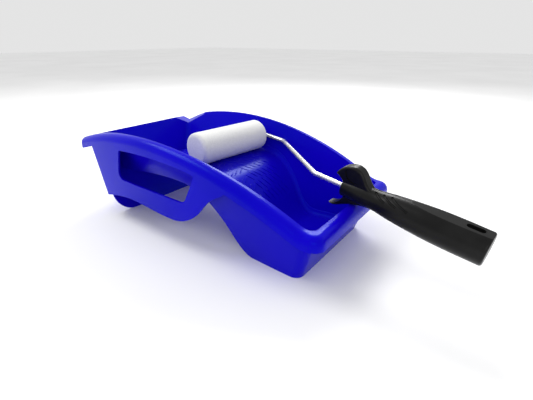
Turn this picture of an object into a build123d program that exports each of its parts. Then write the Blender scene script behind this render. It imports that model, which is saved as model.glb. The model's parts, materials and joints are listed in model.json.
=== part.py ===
from build123d import *
import os
from math import atan2, cos, degrees, radians, sin

# Mini paint roller tray with its roller laid in it. Millimetres, +Z up.
# The origin is the centre of the flat underside of the paint well. +X runs from the raised rear
# end of the tray to the well end, and +Y to the side on which the roller's wire arm comes out.

# Tray
WALL = 2.2                # moulded wall thickness
WELL_REAR_X = -22.0       # where the ramp meets the well floor
FRONT_X = 30.0            # inside of the front wall, at floor level
REAR_X = -221.0           # inside of the rear wall, at floor level
END_DRAFT = 0.31          # lean of both end walls, mm outwards per mm of height
FRONT_HALF, MIDDLE_HALF, REAR_HALF = 62.9, 52.0, 30.0                 # inner half widths at floor level
FRONT_TOP_HALF, MIDDLE_TOP_HALF, REAR_TOP_HALF = 76.5, 82.5, 79.0     # the same at WALL_TOP_Z
MIDDLE_X = -92.0          # station of the middle half width
WALL_TOP_Z = 110.0        # level above the rim at which the wall widths are given
RIM_RADIUS = 397.5        # the rim is an arc in side view, which levels out at the front
RIM_PEAK_X = -153.6
RIM_PEAK_Z = 107.6
RIM_ARC_END_X = 30.0      # where the arc ends
RIM_LEVEL_X = 46.0        # where the rim is level
RIM_LEVEL_Z = 57.5
FLANGE_REAR_X = -277.0    # outer faces of the rim flange
FLANGE_FRONT_X = 59.0
FLANGE_FRONT_HALF, FLANGE_MIDDLE_HALF, FLANGE_REAR_HALF = 80.5, 90.0, 86.0
FLANGE_CORNER = 12.0      # plan radius of the flange's corners
FLANGE_DROP = 13.0        # height of the flange's lip
FLANGE_ROUND = 8.5        # radius over the top of the flange
CAVITY_CORNER = 7.0       # radius of the cavity's upright corners
REAR_LEG_X, REAR_LEG_Z = -233.4, 25.0     # where the skirt's lower edge starts at the rear wall
SKIRT_LOW = [(REAR_LEG_X, REAR_LEG_Z), (-212, 30.5), (-173, 35), (-134, 32), (-106, 30.5)]
SKIRT_LEG = [(-106, 30.5), (-89, 33.5), (-73, 42.5), (-62, 54), (-51, 65), (-37, 73.5), (-20, 77.5)]
WINDOW_REAR_TOP, WINDOW_FRONT_TOP = (-184.5, 90.0), (-68.5, 86.2)     # corners of the hand openings
WINDOW_FRONT_LOW, WINDOW_REAR_LOW = (-86.0, 53.5), (-194.5, 55.5)
WINDOW_CROWN = (-125.0, 91.3)     # point on the arched upper edge
WINDOW_RADII = [(WINDOW_REAR_TOP, 4), (WINDOW_FRONT_TOP, 3), (WINDOW_FRONT_LOW, 11), (WINDOW_REAR_LOW, 8)]
SKIRT_STEP = 0.25         # skirts stand this far inside the flange's outer face
SKIRT_CORNER = 9.0        # radius of the upright corners between the skirts and the rear wall
FOOT_HALF = 80.0          # half width of the rear wall, which is also the rear foot
FOOT_CORNER = 23.0
FOOT_EXTRA = 0.4          # added to each side of the rear wall
RAMP = [(-262, 44), (-236, 50.5), (-194, 59), (-154, 65.5), (-120, 68), (-94, 66), (-76, 58),
        (-62, 45), (-51, 30), (-43, 17), (-34, 7), (WELL_REAR_X, WALL)]   # top of the ramp
SPOUT_FLOOR_Z = 85.0      # bottom of the pouring notch in the far rear corner
SPOUT_X, SPOUT_Y = -248.0, 69.0
SPOUT_HALF, SPOUT_RISE = 42.0, 25.0   # the notch's side slope
SPOUT_OUT, SPOUT_IN = 60.0, 14.0      # how far the notch is cut outwards and inwards of its place
RAMP_LEAN = 0.6           # share of the wall thickness by which the ramp's underside moves back
BEYOND = 140.0            # clear of the tray on any side
BELOW = -20.0             # clear of its underside

# Roller and handle. The roller's own frame has its origin at the middle of the roller, its X
# along the handle and its Y along the roller's axle.
ROLLER_X, ROLLER_Y = -120.5, 17.0
SLEEVE_RADIUS = 18.2
SLEEVE_LENGTH = 100.0
SLEEVE_ROUND = 4.5
REST_GAP = 0.5            # roller to ramp
RAMP_TOP_Z = 68.6         # highest point of the ramp under the roller
ROLLER_Z = RAMP_TOP_Z + SLEEVE_RADIUS + REST_GAP
HANDLE_TURN = -6.2        # degrees about Z
HANDLE_DIP = 7.5          # degrees down towards the grip
HANDLE_RISE = 7.0         # the grip's line above the roller's axle
ROD_RADIUS = 2.5
CORE_RADIUS, CORE_WALL = 8.0, 1.5
CORE_NEAR, CORE_FAR = -36.0, 46.0     # ends of the core tube on the axle
BUSH_LENGTH = 10.0
ROD_START, CLIP_START, BUSH_START = 3.0, 3.2, 4.0     # from the near end of the core
CLIP_RADIUS, CLIP_THICKNESS = 5.2, 0.8
RUNNING_GAP = 0.1
ARM_SIDE = 56.5           # offset of the arm beside the roller
ARM_TURN_X = 38.5         # where the arm turns back towards the middle
ARM_TURN_RISE = 1.5
ARM_BENDS = [8.0, 14.0, 14.0]          # bend radii
ARM_END_X = 127.0         # where it reaches the handle's line
HANDLE_ROLL = 95.0        # degrees by which the handle is turned about its own length

# Handle, in its own frame: X along the grip, Y across the guard's two wings
GRIP = [(162, 8.8), (172, 9.4), (186, 9.7), (196, 9.8), (207, 11.2), (220, 12.5), (232, 13.4),
        (247, 14.2), (262, 14.4), (289, 14.0)]      # station and radius
GRIP_FLAT_Y = 12.9        # height of the flat along the grip
GRIP_FLAT_X = 208.0       # where the flat starts
BUTT_ROUND = 2.0
GUARD_HALF = 5.5          # half thickness of the guard
GUARD_ROUND = 2.0
GUARD_ROUND_END_X = 186.0     # the rounding stops where the guard sinks into the grip
GUARD_TOP = [(153.4, 13), (157.3, 18.6), (162, 22.3), (166.8, 24.4), (172.3, 25), (177, 23.6),
             (181.5, 19.6), (184.5, 15), (190, 9)]
GUARD_BOTTOM = [(149.8, -20.5), (153, -21.8), (159.6, -19.8), (168.7, -15), (176, -12), (190, -9)]
GUARD_THROAT = (164.6, -2.0)    # deepest point of the guard's hollow front edge
PADS = [((169.5, 15.5), -42, 8.0, 4.6), ((160.5, -14.5), 30, 6.2, 3.0)]     # centre, turn, half axes
PAD_DEPTH = 0.9
GROOVES = [(194.0, 12.0), (201.5, 15.0), (209.0, 18.0)]       # start and length along the grip
GROOVE_COURSE = [(12, 0), (30, 0.22), (45, 0.58), (55, 1)]    # degrees round the grip, share of the length
GROOVE_RADIUS = 1.0
GROOVE_LIFT = 0.1         # height of the groove's centre line above the grip
ROD_END_X = 220.0         # how far the rod reaches into the grip
SLOT_X, SLOT_LENGTH, SLOT_WIDTH = 275.5, 14.0, 5.5


def tool_frame():
    """Place of the roller's own frame in the tray."""
    turn, dip = radians(HANDLE_TURN), radians(HANDLE_DIP)
    along = (cos(turn) * cos(dip), sin(turn) * cos(dip), -sin(dip))
    up = (cos(turn) * sin(dip), sin(turn) * sin(dip), cos(dip))
    return Location(Plane(origin=(ROLLER_X, ROLLER_Y, ROLLER_Z), x_dir=along, z_dir=up))


def barrel_outline(z, rear_x, front_x, rear_half, middle_half, front_half):
    """Closed plan outline with straight ends and bowed sides."""
    near = ThreePointArc((rear_x, -rear_half), (MIDDLE_X, -middle_half), (front_x, -front_half))
    far = ThreePointArc((front_x, front_half), (MIDDLE_X, middle_half), (rear_x, rear_half))
    front = Line((front_x, -front_half), (front_x, front_half))
    rear = Line((rear_x, rear_half), (rear_x, -rear_half))
    return Pos(0, 0, z) * make_face([near, front, far, rear])


def uprights(block):
    """Edges of a block that run from its underside to its top."""
    return [e for e in block.edges() if e.bounding_box().size.Z > WALL_TOP_Z - 1]


def wall_block(grow, corner):
    """Drafted block inside the tray's walls, grown outwards by a wall thickness."""
    lean = END_DRAFT * WALL_TOP_Z
    low = barrel_outline(0, REAR_X - grow, FRONT_X + grow,
                         REAR_HALF + grow, MIDDLE_HALF + grow, FRONT_HALF + grow)
    high = barrel_outline(WALL_TOP_Z, REAR_X - lean - grow, FRONT_X + lean + grow,
                          REAR_TOP_HALF + grow, MIDDLE_TOP_HALF + grow, FRONT_TOP_HALF + grow)
    block = loft([low, high], ruled=True)
    return fillet(uprights(block), corner)


def side_prism(face):
    """An outline drawn in X and Z, extruded right across the tray."""
    return extrude(face, BEYOND, both=True)


def side_face(*lines):
    """Face in the XZ plane, from lines drawn with their second coordinate as height."""
    return make_face([edge for line in lines for edge in (Plane.XZ * line).edges()])


def above_ramp(drop):
    """Everything above the ramp and the well floor, lowered by a wall thickness."""
    points = [(x - RAMP_LEAN * drop, z - drop) for x, z in RAMP]
    ramp = Spline(*points, tangents=[(1, 0.23), (1, 0)])
    start, end = points[0], points[-1]
    back = start[0] - BEYOND
    rest = Polyline(end, (BEYOND, end[1]), (BEYOND, BEYOND), (back, BEYOND), (back, start[1]), start)
    return side_prism(side_face(ramp, rest))


def below_rim(drop):
    """Everything below the arched rim, lowered by a distance."""
    centre = (RIM_PEAK_X, RIM_PEAK_Z - drop - RIM_RADIUS)
    reach = RIM_ARC_END_X - RIM_PEAK_X
    rise = (RIM_RADIUS ** 2 - reach ** 2) ** 0.5
    turn = degrees(atan2(rise, reach))
    arc = CenterArc(centre, RIM_RADIUS, turn, 180 - 2 * turn)
    end = (centre[0] + reach, centre[1] + rise)
    start = (centre[0] - reach, centre[1] + rise)
    level = (RIM_LEVEL_X, RIM_LEVEL_Z - drop)
    ease = Spline(end, level, tangents=[(rise, -reach), (1, 0)])
    rest = Polyline(level, (BEYOND, level[1]), (BEYOND, BELOW), (start[0], BELOW), start)
    return side_prism(side_face(arc, ease, rest))


def spout_cut(drop):
    """V-shaped notch over the far rear corner, running out along the corner's diagonal."""
    section = Polyline((0, 0), (SPOUT_HALF, SPOUT_RISE), (-SPOUT_HALF, SPOUT_RISE), close=True)
    plane = Plane(origin=(SPOUT_X, SPOUT_Y, SPOUT_FLOOR_Z - drop), x_dir=(-1, -1, 0), z_dir=(-1, 1, 0))
    notch = plane * make_face(section)
    return extrude(notch, SPOUT_OUT) + extrude(notch, -SPOUT_IN)


def top_border(block):
    """Edges between a block's upward faces and its sides."""
    tops = [f for f in block.faces() if f.normal_at().Z > 0.5]
    edges = [e for f in tops for e in f.edges()]
    return [e for e in edges if sum(e.is_same(other) for other in edges) == 1]


def flange_block(inset, drop):
    """Solid under the rim flange's skin."""
    outline = barrel_outline(0, FLANGE_REAR_X + inset, FLANGE_FRONT_X - inset,
                             FLANGE_REAR_HALF - inset, FLANGE_MIDDLE_HALF - inset, FLANGE_FRONT_HALF - inset)
    block = extrude(outline, BEYOND)
    block = fillet(uprights(block), FLANGE_CORNER - inset) & below_rim(drop)
    return fillet(top_border(block), FLANGE_ROUND - inset) - spout_cut(drop)


def skirt_outline():
    """Side view of a hand-grip skirt, from the rear wall to the leg that runs up into the flange."""
    low = Spline(*SKIRT_LOW)
    leg = Spline(*SKIRT_LEG, tangents=[(1, 0), (1, 0)])
    start, end = SKIRT_LOW[0], SKIRT_LEG[-1]
    back = REAR_LEG_X - END_DRAFT * (BEYOND - REAR_LEG_Z)
    top = Polyline(end, (end[0], BEYOND), (back, BEYOND), start)
    return side_face(low, leg, top)


def grip_window():
    """Hand opening in each skirt."""
    arch = ThreePointArc(WINDOW_REAR_TOP, WINDOW_CROWN, WINDOW_FRONT_TOP)
    rest = Polyline(WINDOW_FRONT_TOP, WINDOW_FRONT_LOW, WINDOW_REAR_LOW, WINDOW_REAR_TOP)
    block = side_prism(side_face(arch, rest))
    for (x, z), radius in WINDOW_RADII:
        across = block.edges().filter_by(Axis.Y)
        corner = [e for e in across if abs(e.center().X - x) + abs(e.center().Z - z) < 0.1]
        block = fillet(corner, radius)
    return block


def skirt_block(inset):
    """Solid inside the skirts and the rear wall, with rounded upright corners."""
    lean = END_DRAFT * WALL_TOP_Z
    outline = barrel_outline(0, FLANGE_REAR_X, FLANGE_FRONT_X, FLANGE_REAR_HALF - inset,
                             FLANGE_MIDDLE_HALF - inset, FLANGE_FRONT_HALF - inset)
    back = REAR_X - WALL - FOOT_EXTRA + inset
    corners = [(back, 0), (BEYOND, 0), (BEYOND, WALL_TOP_Z), (back - lean, WALL_TOP_Z)]
    ahead = side_face(Polyline(*corners, close=True))
    block = extrude(outline, WALL_TOP_Z) & side_prism(ahead)
    rear = [e for e in uprights(block) if e.center().X < MIDDLE_X]
    return fillet(rear, SKIRT_CORNER - inset)


def foot_block():
    """Outline of the rear wall's foot, run through the rear end of the tray."""
    outline = Plane.YZ * Pos(0, BEYOND / 2) * RectangleRounded(2 * FOOT_HALF, BEYOND, FOOT_CORNER)
    return extrude(Pos(REAR_X + FOOT_EXTRA, 0, 0) * outline, -BEYOND)


def make_tray():
    cavity = wall_block(0, CAVITY_CORNER) & above_ramp(0)
    basin = wall_block(WALL, CAVITY_CORNER + WALL) & above_ramp(WALL) & below_rim(0)
    outer = flange_block(0, 0)
    flange = outer - flange_block(WALL, WALL) - below_rim(FLANGE_DROP)
    shell = (skirt_block(SKIRT_STEP) - skirt_block(SKIRT_STEP + WALL)) & outer
    low = shell & (side_prism(skirt_outline()) + foot_block())
    body = basin & outer
    body += flange
    body += low - grip_window()
    return body - cavity


def make_sleeve():
    """Foam roller sleeve with a closed, rounded outer end."""
    body = Cylinder(SLEEVE_RADIUS, SLEEVE_LENGTH, rotation=(90, 0, 0))
    body = fillet(body.edges().filter_by(GeomType.CIRCLE), SLEEVE_ROUND)
    bore_length = SLEEVE_LENGTH / 2 - CORE_NEAR
    bore = Pos(0, CORE_NEAR + bore_length / 2, 0) * Cylinder(CORE_RADIUS, bore_length, rotation=(90, 0, 0))
    return body - bore


def axle_tube(outer, inner, start, end):
    """Tube about the roller's axle from one station to another."""
    length = end - start
    tube = Cylinder(outer, length, rotation=(90, 0, 0)) - Cylinder(inner, length, rotation=(90, 0, 0))
    return Pos(0, (start + end) / 2, 0) * tube


def make_core():
    return axle_tube(CORE_RADIUS, CORE_RADIUS - CORE_WALL, CORE_NEAR, CORE_FAR)


def make_bush(start):
    return axle_tube(CORE_RADIUS - CORE_WALL, ROD_RADIUS + RUNNING_GAP, start, start + BUSH_LENGTH)


def rod_path():
    points = [(0, CORE_NEAR + ROD_START, 0), (0, ARM_SIDE, 0), (ARM_TURN_X, ARM_SIDE, ARM_TURN_RISE),
              (ARM_END_X, 0, HANDLE_RISE), (ROD_END_X, 0, HANDLE_RISE)]
    return FilletPolyline(*points, radius=ARM_BENDS)


def make_rod():
    path = rod_path()
    section = Plane(origin=path @ 0, z_dir=path % 0) * Circle(ROD_RADIUS)
    return sweep(section, path)


def make_clip():
    """Push-on spring ring that holds a bush on the rod."""
    start = CORE_NEAR + CLIP_START
    return axle_tube(CLIP_RADIUS, ROD_RADIUS, start, start + CLIP_THICKNESS)


def grip_body():
    """Round grip that swells from its neck, with a flat along its upper side."""
    profile = Spline(*GRIP, tangents=[(1, 0.05), (1, -0.02)])
    rest = Polyline(GRIP[-1], (GRIP[-1][0], 0), (GRIP[0][0], 0), GRIP[0])
    body = revolve(make_face([profile, rest]), Axis.X)
    butt = body.edges().filter_by(GeomType.CIRCLE).sort_by(Axis.X)[-1]
    body = fillet(butt, BUTT_ROUND)
    low_corner = (Align.MIN, Align.MIN, Align.CENTER)
    return body - Pos(GRIP_FLAT_X, GRIP_FLAT_Y, 0) * Box(BEYOND, BEYOND, BEYOND, align=low_corner)


def guard():
    """Fishtail finger guard at the front of the grip."""
    top = Spline(*GUARD_TOP)
    bottom = Spline(*GUARD_BOTTOM)
    back = Line(GUARD_TOP[-1], GUARD_BOTTOM[-1])
    throat = ThreePointArc(GUARD_TOP[0], GUARD_THROAT, GUARD_BOTTOM[0])
    plate = extrude(make_face([top, back, bottom, throat]), GUARD_HALF, both=True)
    faces = [e for e in plate.edges() if abs(abs(e.center().Z) - GUARD_HALF) < 0.01]
    return fillet([e for e in faces if e.center().X < GUARD_ROUND_END_X], GUARD_ROUND)


def thumb_pads():
    """Shallow oval hollows on both faces of the guard's wings."""
    cuts = []
    for (x, y), turn, long, short in PADS:
        for side in (1, -1):
            floor = Plane(origin=(x, y, side * (GUARD_HALF - PAD_DEPTH)))
            cuts.append(extrude(floor * (Rot(0, 0, turn) * Ellipse(long, short)), side * GUARD_HALF))
    return cuts


def grip_radius(x):
    """Radius of the grip between its stations."""
    for (x0, r0), (x1, r1) in zip(GRIP, GRIP[1:]):
        if x <= x1:
            return r0 + (r1 - r0) * (x - x0) / (x1 - x0)
    return GRIP[-1][1]


def grip_grooves():
    """Three crescent grooves, in each quarter of the neck."""
    cuts = []
    for start, length in GROOVES:
        points = []
        for turn, share in GROOVE_COURSE:
            x = start + length * share
            radius = grip_radius(x) + GROOVE_LIFT
            points.append((x, radius * cos(radians(turn)), radius * sin(radians(turn))))
        path = Spline(*points)
        groove = sweep(Plane(origin=path @ 0, z_dir=path % 0) * Circle(GROOVE_RADIUS), path)
        for side in (groove, mirror(groove, Plane.XY)):
            cuts.append(side)
            cuts.append(mirror(side, Plane.XZ))
    return cuts


def make_handle():
    body = grip_body() + guard()
    for cut in thumb_pads() + grip_grooves():
        body -= cut
    across = Plane(origin=(SLOT_X, 0, 0), x_dir=(1, 0, 0), z_dir=(0, 1, 0))
    body -= extrude(across * SlotOverall(SLOT_LENGTH, SLOT_WIDTH), BEYOND, both=True)
    body = Pos(0, 0, HANDLE_RISE) * Rot(HANDLE_ROLL, 0, 0) * body
    return body - make_rod()


def save(shape, node):
    shape.label = node
    export_step(shape, f"parts/{node}.step")


def main():
    os.makedirs("parts", exist_ok=True)
    place = tool_frame()
    save(make_tray(), "tray")
    pieces = {
        "foam_sleeve": make_sleeve(),
        "sleeve_core": make_core(),
        "outer_bush": make_bush(CORE_NEAR + BUSH_START),
        "inner_bush": make_bush(CORE_FAR - BUSH_LENGTH),
        "rod_end_clip": make_clip(),
        "roller_frame": make_rod(),
        "handle": make_handle(),
    }
    for node, shape in pieces.items():
        save(shape.moved(place), node)


main()
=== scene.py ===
import json
import math

import bmesh
import bpy
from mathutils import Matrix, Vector, noise as field
from mathutils.bvhtree import BVHTree


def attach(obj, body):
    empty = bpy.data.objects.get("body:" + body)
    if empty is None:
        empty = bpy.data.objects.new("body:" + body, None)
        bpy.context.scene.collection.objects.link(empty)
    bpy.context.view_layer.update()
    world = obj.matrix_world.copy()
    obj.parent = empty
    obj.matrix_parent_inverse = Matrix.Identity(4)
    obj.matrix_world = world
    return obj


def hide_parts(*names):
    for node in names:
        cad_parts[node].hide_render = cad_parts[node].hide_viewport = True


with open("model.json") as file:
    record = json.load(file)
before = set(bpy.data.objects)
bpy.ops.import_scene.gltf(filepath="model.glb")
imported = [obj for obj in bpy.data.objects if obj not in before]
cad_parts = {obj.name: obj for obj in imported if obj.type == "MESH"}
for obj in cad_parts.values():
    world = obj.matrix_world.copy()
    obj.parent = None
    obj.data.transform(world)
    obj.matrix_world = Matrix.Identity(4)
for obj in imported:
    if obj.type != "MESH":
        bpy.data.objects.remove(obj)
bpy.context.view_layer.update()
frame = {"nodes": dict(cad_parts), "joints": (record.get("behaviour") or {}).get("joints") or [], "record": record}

# Camera, in metres and degrees
CAMERA_PLACE = (0.1664, -0.2965, 0.2010)
CAMERA_TURN = 36.34
CAMERA_DIP = 24.38
CAMERA_LENS = 24.2
SENSOR_WIDTH = 36.0
CAMERA_NEAR = 0.01

# Colours, linear
TRAY_BLUE = (0.006, 0.0, 0.50, 1.0)
TRAY_DEEP = (0.003, 0.0, 0.42, 1.0)
TRAY_SHEEN = (0.02, 0.36, 1.0, 1.0)
FOAM_WHITE = (0.74, 0.74, 0.73, 1.0)
FOAM_SHADE = (0.64, 0.64, 0.63, 1.0)
HANDLE_BLACK = (0.003, 0.003, 0.003, 1.0)
HANDLE_GREY = (0.007, 0.007, 0.007, 1.0)
ROD_BRIGHT = (0.80, 0.80, 0.76, 1.0)
ROD_DULL = (0.62, 0.62, 0.58, 1.0)
CORE_NATURAL = (0.70, 0.70, 0.66, 1.0)
CORE_SHADE = (0.60, 0.60, 0.56, 1.0)
CLIP_STEEL = (0.55, 0.55, 0.56, 1.0)
CLIP_SHADE = (0.45, 0.45, 0.46, 1.0)

# Foam sleeve, in metres. Stations are measured along the axle from the sleeve's middle.
SLEEVE_RADIUS = 0.0182
SLEEVE_HALF = 0.050
SLEEVE_ROUND = 0.0045
SLEEVE_CROWN = 0.0003                    # bulge of the closed end
SLEEVE_POLE = 0.0006                     # radius of the small flats that close the mesh on the axle
CLOSED_END_RADII = (SLEEVE_POLE, 0.004, 0.008, 0.011)
OPEN_END_RADIUS = 0.0115                 # a ring of vertices on the open end's flat
BORE_RADIUS = 0.0081
BORE_LIP = 0.0012                        # chamfer at the mouth of the bore
BORE_STATIONS = (0.030, 0.010, -0.010, -0.025)
BORE_END = -0.036
CORNER_STEPS, SIDE_SPANS, SLEEVE_AROUND = 8, 44, 96
FOAM_RELIEF, FOAM_RELIEF_SCALE = 0.00012, 260
RELIEF_START = BORE_RADIUS + 0.001       # the surface is uneven outside this radius

# Ramp ticks, in metres and degrees
ABOVE_RAMP = 0.085                       # height from which the ramp is looked down on
TICK_LENGTH, TICK_WIDTH, TICK_HEIGHT = 0.012, 0.0017, 0.0006
TICK_STATIONS, TICK_AROUND = 9, 8
TICK_BLUNTNESS = 0.06                    # share of the full section that is left at a tick's ends
TICK_ROWS, TICK_COLUMNS = 19, 13
TICK_START_X, TICK_START_Y = -0.232, -0.045
TICK_STEP_X, TICK_STEP_Y = 0.0098, 0.0074
TICK_STAGGER = TICK_STEP_Y / 2
TICK_DRIFT = 0.002                       # unevenness of the rows
TICK_SPREAD = 0.25                       # unevenness of the lengths
DRIFT_SEED, SPREAD_SEED = (1.7, 2.3, 0.5), (3.1, 1.9, 4.5)
CHEVRON_Y = -0.004                       # the ticks change direction here
NEAR_TURN, FAR_TURN = -62, 38
TICK_LIMIT_Y, TICK_LIMIT_Z = 0.047, 0.0705      # ticks past these would climb the walls

# Coves between ramp and walls, in metres
COVE_RADIUS = 0.006
COVE_STEPS = 6
COVE_BACKING = 0.0007                    # depth to which a cove is sunk in the tray
COVE_STATIONS = 90
COVE_START_X, COVE_LENGTH = -0.232, 0.252
COVE_LOOK_Y = 0.02                       # where the ramp's height is taken for a station
COVE_FOOT_LIFT = 0.001                   # height over the ramp at which the wall's foot is found

FLOOR_PALE = (0.90, 0.90, 0.90, 1.0)
FLOOR_WHITE = (0.94, 0.94, 0.94, 1.0)
FLOOR_HALF_SIZE = 6.0

# Lights: name, place in metres, size in metres, power in watts
LIGHT_TARGET = (-0.08, 0.0, 0.06)
LIGHTS = [("overhead", (-0.72, -0.28, 1.0), (0.6, 0.5), 6),
          ("far_window", (-0.42, 0.85, 0.88), (0.55, 0.45), 9),
          ("front_fill", (0.8, -1.2, 0.7), (1.0, 0.7), 3.5)]
SKY_WHITE = (1.0, 1.0, 1.0, 1.0)
SKY_STRENGTH = 0.78


# ---------------------------------------------------------------- materials

def new_material(name):
    """A node material; returns it with its tree, its shader and its object coordinates."""
    material = bpy.data.materials.new(name)
    material.use_nodes = True
    tree = material.node_tree
    shader = tree.nodes["Principled BSDF"]
    coords = tree.nodes.new("ShaderNodeTexCoord")
    return material, tree, shader, coords.outputs["Object"]


def noise(tree, coords, scale, detail=2.0):
    """Noise output."""
    node = tree.nodes.new("ShaderNodeTexNoise")
    node.inputs["Scale"].default_value = scale
    node.inputs["Detail"].default_value = detail
    tree.links.new(coords, node.inputs["Vector"])
    return node.outputs["Fac"]


def voronoi(tree, coords, scale):
    """Distance to the nearest cell's centre."""
    node = tree.nodes.new("ShaderNodeTexVoronoi")
    node.inputs["Scale"].default_value = scale
    tree.links.new(coords, node.inputs["Vector"])
    return node.outputs["Distance"]


def ramp_between(tree, fac, low, high, start=0.35, end=0.65):
    """Colour that runs from low to high between two values of a factor."""
    node = tree.nodes.new("ShaderNodeValToRGB")
    node.color_ramp.elements[0].position = start
    node.color_ramp.elements[0].color = low
    node.color_ramp.elements[1].position = end
    node.color_ramp.elements[1].color = high
    tree.links.new(fac, node.inputs["Fac"])
    return node.outputs["Color"]


def map_range(tree, fac, low, high):
    """A factor from 0 to 1, rescaled to run from low to high."""
    node = tree.nodes.new("ShaderNodeMapRange")
    node.inputs["To Min"].default_value = low
    node.inputs["To Max"].default_value = high
    tree.links.new(fac, node.inputs["Value"])
    return node.outputs["Result"]


def bump(tree, shader, height, strength, distance, below=None):
    """Bump on the shader's normal, over an earlier bump where one is given."""
    node = tree.nodes.new("ShaderNodeBump")
    node.inputs["Strength"].default_value = strength
    node.inputs["Distance"].default_value = distance
    tree.links.new(height, node.inputs["Height"])
    if below is not None:
        tree.links.new(below, node.inputs["Normal"])
    tree.links.new(node.outputs["Normal"], shader.inputs["Normal"])
    return node.outputs["Normal"]


def gloss_blue():
    """Saturated blue polypropylene with a wet gloss and faint mould waviness."""
    material, tree, shader, coords = new_material("tray_plastic")
    mottle = noise(tree, coords, scale=9.0, detail=3.0)
    colour = ramp_between(tree, mottle, TRAY_DEEP, TRAY_BLUE, start=0.25, end=0.6)
    tree.links.new(colour, shader.inputs["Base Color"])
    gloss = noise(tree, coords, scale=60.0, detail=4.0)
    tree.links.new(map_range(tree, gloss, low=0.16, high=0.30), shader.inputs["Roughness"])
    shader.inputs["IOR"].default_value = 1.22
    shader.inputs["Specular IOR Level"].default_value = 0.5
    shader.inputs["Specular Tint"].default_value = TRAY_SHEEN
    grain = noise(tree, coords, scale=35.0, detail=2.0)
    waves = bump(tree, shader, grain, strength=0.10, distance=0.0008)
    grain = noise(tree, coords, scale=900.0, detail=2.0)
    bump(tree, shader, grain, strength=0.05, distance=0.0002, below=waves)
    return material


def white_foam():
    """Fine open-cell foam."""
    material, tree, shader, coords = new_material("foam")
    mottle = noise(tree, coords, scale=900.0, detail=3.0)
    colour = ramp_between(tree, mottle, FOAM_SHADE, FOAM_WHITE)
    tree.links.new(colour, shader.inputs["Base Color"])
    shader.inputs["Roughness"].default_value = 0.95
    shader.inputs["Specular IOR Level"].default_value = 0.15
    shader.inputs["Sheen Weight"].default_value = 0.2
    shader.inputs["Sheen Roughness"].default_value = 0.6
    grain = voronoi(tree, coords, scale=1700.0)
    cells = bump(tree, shader, grain, strength=0.30, distance=0.0003)
    grain = noise(tree, coords, scale=200.0, detail=4.0)
    bump(tree, shader, grain, strength=0.10, distance=0.0004, below=cells)
    return material


def satin_black():
    """Moulded black grip plastic with a fine spark-eroded grain."""
    material, tree, shader, coords = new_material("handle_plastic")
    mottle = noise(tree, coords, scale=40.0, detail=3.0)
    colour = ramp_between(tree, mottle, HANDLE_BLACK, HANDLE_GREY)
    tree.links.new(colour, shader.inputs["Base Color"])
    gloss = noise(tree, coords, scale=220.0, detail=3.0)
    tree.links.new(map_range(tree, gloss, low=0.26, high=0.36), shader.inputs["Roughness"])
    shader.inputs["IOR"].default_value = 1.28
    shader.inputs["Specular IOR Level"].default_value = 0.45
    grain = noise(tree, coords, scale=1400.0, detail=2.0)
    bump(tree, shader, grain, strength=0.12, distance=0.0002)
    return material


def bright_rod():
    """Plated wire with faint drawing marks."""
    material, tree, shader, coords = new_material("coated_rod")
    mottle = noise(tree, coords, scale=120.0, detail=3.0)
    colour = ramp_between(tree, mottle, ROD_DULL, ROD_BRIGHT)
    tree.links.new(colour, shader.inputs["Base Color"])
    shader.inputs["Metallic"].default_value = 0.8
    gloss = noise(tree, coords, scale=400.0, detail=2.0)
    tree.links.new(map_range(tree, gloss, low=0.20, high=0.32), shader.inputs["Roughness"])
    grain = noise(tree, coords, scale=700.0, detail=2.0)
    bump(tree, shader, grain, strength=0.06, distance=0.0001)
    return material


def natural_plastic():
    """Unpainted moulded plastic of the core and bushes."""
    material, tree, shader, coords = new_material("core_plastic")
    mottle = noise(tree, coords, scale=80.0, detail=2.0)
    colour = ramp_between(tree, mottle, CORE_SHADE, CORE_NATURAL)
    tree.links.new(colour, shader.inputs["Base Color"])
    shader.inputs["Roughness"].default_value = 0.45
    grain = noise(tree, coords, scale=600.0, detail=2.0)
    bump(tree, shader, grain, strength=0.08, distance=0.0001)
    return material


def spring_steel():
    """Bare steel of the push-on clip."""
    material, tree, shader, coords = new_material("clip_steel")
    mottle = noise(tree, coords, scale=300.0, detail=2.0)
    colour = ramp_between(tree, mottle, CLIP_SHADE, CLIP_STEEL)
    tree.links.new(colour, shader.inputs["Base Color"])
    shader.inputs["Metallic"].default_value = 1.0
    gloss = noise(tree, coords, scale=500.0, detail=2.0)
    tree.links.new(map_range(tree, gloss, low=0.25, high=0.4), shader.inputs["Roughness"])
    return material


MATERIALS = {
    "tray_plastic": gloss_blue(),
    "foam": white_foam(),
    "handle_plastic": satin_black(),
    "coated_rod": bright_rod(),
    "core_plastic": natural_plastic(),
    "clip_steel": spring_steel(),
}


def dress_cad_nodes():
    """Every CAD node takes the material of its slot in the record."""
    for part in frame["record"]["subparts"]:
        node = frame["nodes"][part["node"]]
        node.data.materials.clear()
        node.data.materials.append(MATERIALS[part["material_slot"]])


# ---------------------------------------------------------------- pieces

def add_piece(name, verts, faces, body, slot_name):
    """A smooth mesh piece in the row frame that rides on a CAD body."""
    mesh = bpy.data.meshes.new(name)
    mesh.from_pydata(verts, [], faces)
    mesh.update()
    mesh.shade_smooth()
    mesh.materials.append(MATERIALS[slot_name])
    piece = bpy.data.objects.new(name, mesh)
    bpy.context.scene.collection.objects.link(piece)
    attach(piece, body)
    return piece


def ring_faces(rings, around):
    """Quads between rings of vertices laid out one after another, with a face over each end."""
    faces = []
    for ring in range(rings - 1):
        for step in range(around):
            a = ring * around + step
            b = ring * around + (step + 1) % around
            faces.append((a, b, b + around, a + around))
    faces.append(tuple(reversed(range(around))))
    faces.append(tuple(range((rings - 1) * around, rings * around)))
    return faces


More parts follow.
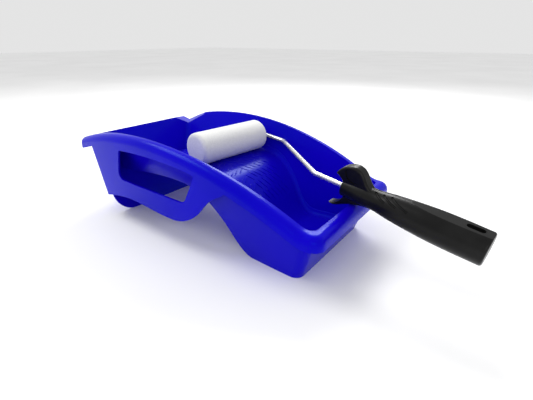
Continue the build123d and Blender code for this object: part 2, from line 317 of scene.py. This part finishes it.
def sleeve_corner():
    """Rounded corner at the sleeve's open end, from the flat to the full radius."""
    corner = []
    for step in range(CORNER_STEPS + 1):
        turn = math.pi / 2 * step / CORNER_STEPS
        radius = SLEEVE_RADIUS - SLEEVE_ROUND * (1 - math.sin(turn))
        corner.append((radius, SLEEVE_HALF - SLEEVE_ROUND * (1 - math.cos(turn))))
    return corner


def sleeve_profile():
    """Radius and station of points from the closed end's centre, along the outside, to the bore's end."""
    corner = sleeve_corner()
    straight = SLEEVE_HALF - SLEEVE_ROUND
    profile = []
    for radius in CLOSED_END_RADII:
        profile.append((radius, -SLEEVE_HALF - SLEEVE_CROWN * (1 - radius / SLEEVE_RADIUS)))
    profile += [(radius, -station) for radius, station in corner]
    for step in range(1, SIDE_SPANS):
        profile.append((SLEEVE_RADIUS, straight * (2 * step / SIDE_SPANS - 1)))
    profile += reversed(corner)
    profile += [(OPEN_END_RADIUS, SLEEVE_HALF), (BORE_RADIUS + BORE_LIP, SLEEVE_HALF)]
    profile += [(BORE_RADIUS, SLEEVE_HALF - BORE_LIP)]
    profile += [(BORE_RADIUS, station) for station in BORE_STATIONS]
    profile += [(BORE_RADIUS, BORE_END), (SLEEVE_POLE, BORE_END)]
    return profile


def build_sleeve():
    """Foam sleeve with softly rounded ends and the slight unevenness of cut foam."""
    joint = next(j for j in frame["joints"] if j["name"] == "roller_spin")
    middle = Vector(joint["pos_m"])
    axle = Vector(joint["axis"]).normalized()
    up = Vector((0, 0, 1))
    across = axle.cross(up)
    profile = sleeve_profile()
    verts = []
    for radius, station in profile:
        for step in range(SLEEVE_AROUND):
            turn = 2 * math.pi * step / SLEEVE_AROUND
            spoke = math.cos(turn) * across + math.sin(turn) * up
            point = middle + station * axle + radius * spoke
            if radius > RELIEF_START:
                point += spoke * FOAM_RELIEF * field.noise(point * FOAM_RELIEF_SCALE)
            verts.append(point)
    piece = add_piece("foam_roller", verts, ring_faces(len(profile), SLEEVE_AROUND), "roller", "foam")
    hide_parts("foam_sleeve")


def tray_tree():
    """Search tree of the tray's mesh."""
    mesh = frame["nodes"]["tray"].data
    return BVHTree.FromPolygons([v.co for v in mesh.vertices], [tuple(p.vertices) for p in mesh.polygons])


def ramp_below(tree, x, y):
    """Point of the ramp or well floor under a place inside the tray, or None."""
    return tree.ray_cast(Vector((x, y, ABOVE_RAMP)), Vector((0, 0, -1)))[0]


def wall_beside(tree, x, z, side):
    """Point of the tray's inner wall beside a place on its middle line."""
    return tree.ray_cast(Vector((x, 0, z)), Vector((0, side, 0)))[0]


def tick_verts(tree, x, y, turn, length):
    """Rings of one raised tick, a slim spindle half sunk in the ramp. None where it misses the tray."""
    along = Vector((math.cos(turn), math.sin(turn), 0))
    side = Vector((-along.y, along.x, 0))
    up = Vector((0, 0, 1))
    verts = []
    for step in range(TICK_STATIONS):
        share = step / (TICK_STATIONS - 1)
        swell = max(TICK_BLUNTNESS, math.sin(math.pi * share) ** 0.5)
        spot = Vector((x, y, 0)) + along * length * (share - 0.5)
        ground = ramp_below(tree, spot.x, spot.y)
        if ground is None:
            return None
        for around in range(TICK_AROUND):
            angle = 2 * math.pi * around / TICK_AROUND
            offset = side * TICK_WIDTH / 2 * swell * math.cos(angle)
            verts.append(ground + offset + up * TICK_HEIGHT * swell * math.sin(angle))
    return verts


def uneven(row, column, seed):
    """Smooth unevenness, between -1 and 1, of one row and column."""
    return field.noise(Vector((row * seed[0], column * seed[1], seed[2])))


def tick_place(row, column):
    """Place, direction and length of one tick."""
    x = TICK_START_X + TICK_STEP_X * row + TICK_DRIFT * uneven(row, column, DRIFT_SEED)
    y = TICK_START_Y + TICK_STEP_Y * column + TICK_STAGGER * (row % 2)
    turn = math.radians(NEAR_TURN if y < CHEVRON_Y else FAR_TURN)
    length = TICK_LENGTH * (1 + TICK_SPREAD * uneven(row, column, SPREAD_SEED))
    return x, y, turn, length


def build_ramp_ticks():
    """Short raised ticks in a chevron over the ramp."""
    tree = tray_tree()
    quads = ring_faces(TICK_STATIONS, TICK_AROUND)
    verts = []
    faces = []
    for row in range(TICK_ROWS):
        for column in range(TICK_COLUMNS):
            x, y, turn, length = tick_place(row, column)
            tick = tick_verts(tree, x, y, turn, length)
            if tick is None or max(p.z for p in tick) > TICK_LIMIT_Z or abs(y) > TICK_LIMIT_Y:
                continue
            base = len(verts)
            verts += tick
            faces += [tuple(base + v for v in face) for face in quads]
    add_piece("ramp_ticks", verts, faces, "tray", "tray_plastic")


def cove_ring(corner, floor_point, wall_point, back):
    """Closed cross-section of a cove: a hollow quarter between floor and wall, backed inside them."""
    ring = []
    for step in range(COVE_STEPS + 1):
        share = step / COVE_STEPS
        pull = corner * 2 * share * (1 - share)
        ring.append(floor_point * (1 - share) ** 2 + pull + wall_point * share ** 2)
    ring += [wall_point + back, corner + back, floor_point + back]
    return ring


def build_cove(name, side):
    """Cove between the ramp and one side wall."""
    tree = tray_tree()
    back = Vector((0, side * COVE_BACKING, -COVE_BACKING))
    verts = []
    for step in range(COVE_STATIONS):
        x = COVE_START_X + COVE_LENGTH * step / (COVE_STATIONS - 1)
        middle = ramp_below(tree, x, side * COVE_LOOK_Y)
        face = wall_beside(tree, x, middle.z + COVE_RADIUS, side)
        ground = ramp_below(tree, x, side * (abs(face.y) - COVE_RADIUS))
        foot = wall_beside(tree, x, ground.z + COVE_FOOT_LIFT, side)
        corner = Vector((x, foot.y, ground.z))
        ring = cove_ring(corner, ground, face, back)
        verts += ring
    add_piece(name, verts, ring_faces(COVE_STATIONS, len(ring)), "tray", "tray_plastic")


# ---------------------------------------------------------------- stage, lights, camera

def build_floor():
    """Wide, pale, dull floor."""
    mesh = bpy.data.meshes.new("floor")
    grid = bmesh.new()
    bmesh.ops.create_grid(grid, x_segments=4, y_segments=4, size=FLOOR_HALF_SIZE)
    grid.to_mesh(mesh)
    grid.free()
    floor = bpy.data.objects.new("floor", mesh)
    bpy.context.scene.collection.objects.link(floor)
    material, tree, shader, coords = new_material("floor")
    mottle = noise(tree, coords, scale=3.0)
    tree.links.new(ramp_between(tree, mottle, FLOOR_PALE, FLOOR_WHITE), shader.inputs["Base Color"])
    shader.inputs["Roughness"].default_value = 0.9
    mesh.materials.append(material)


def area_light(name, place, size, power):
    """Rectangular light that faces the tray."""
    light = bpy.data.lights.new(name, "AREA")
    light.shape = "RECTANGLE"
    light.size, light.size_y = size
    light.energy = power
    lamp = bpy.data.objects.new(name, light)
    lamp.location = place
    lamp.rotation_euler = (Vector(LIGHT_TARGET) - Vector(place)).to_track_quat("-Z", "Y").to_euler()
    bpy.context.scene.collection.objects.link(lamp)


def light_studio():
    """Three soft lights in a white surround, with colours shown as they are."""
    for name, place, size, power in LIGHTS:
        area_light(name, place, size, power)
    world = bpy.data.worlds.new("studio")
    bpy.context.scene.world = world
    world.use_nodes = True
    background = world.node_tree.nodes["Background"]
    background.inputs["Color"].default_value = SKY_WHITE
    background.inputs["Strength"].default_value = SKY_STRENGTH
    bpy.context.scene.view_settings.view_transform = "Standard"


def set_camera():
    """Camera at the photograph's place and angle."""
    data = bpy.data.cameras.new("camera")
    data.lens = CAMERA_LENS
    data.sensor_width = SENSOR_WIDTH
    data.clip_start = CAMERA_NEAR
    camera = bpy.data.objects.new("camera", data)
    camera.location = CAMERA_PLACE
    camera.rotation_euler = (math.radians(90 - CAMERA_DIP), 0, math.radians(CAMERA_TURN))
    bpy.context.scene.collection.objects.link(camera)
    bpy.context.scene.camera = camera


set_camera()
light_studio()
build_floor()
dress_cad_nodes()
build_sleeve()
build_ramp_ticks()
build_cove("far_cove", 1)
build_cove("near_cove", -1)
